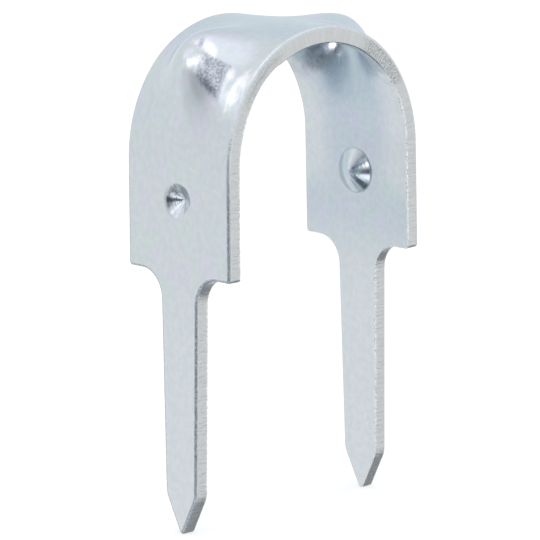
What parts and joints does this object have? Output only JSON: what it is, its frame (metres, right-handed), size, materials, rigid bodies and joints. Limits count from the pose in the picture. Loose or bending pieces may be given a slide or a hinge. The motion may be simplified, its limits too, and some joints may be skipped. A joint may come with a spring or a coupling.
{
  "type": "conduit clip",
  "caption": "U-shaped stamped steel strap with a half-round arch, pressed knuckles and dimples, and pointed prongs that are driven into timber to hold a conduit against it.",
  "frame": {"origin": "in the timber face that the four shoulders seat on, midway between the legs and under the middle of the crown", "axes": "+Z away from the timber towards the crown, +Y along the conduit, +X across the legs"},
  "size_m": [0.0274, 0.0152, 0.0516],
  "materials": {
    "zinc_plated_steel": "bright zinc plating, satin, faintly blue"
  },
  "bodies": {
    "root": {"conduit_clip": "zinc_plated_steel"}
  },
  "joints": []
}
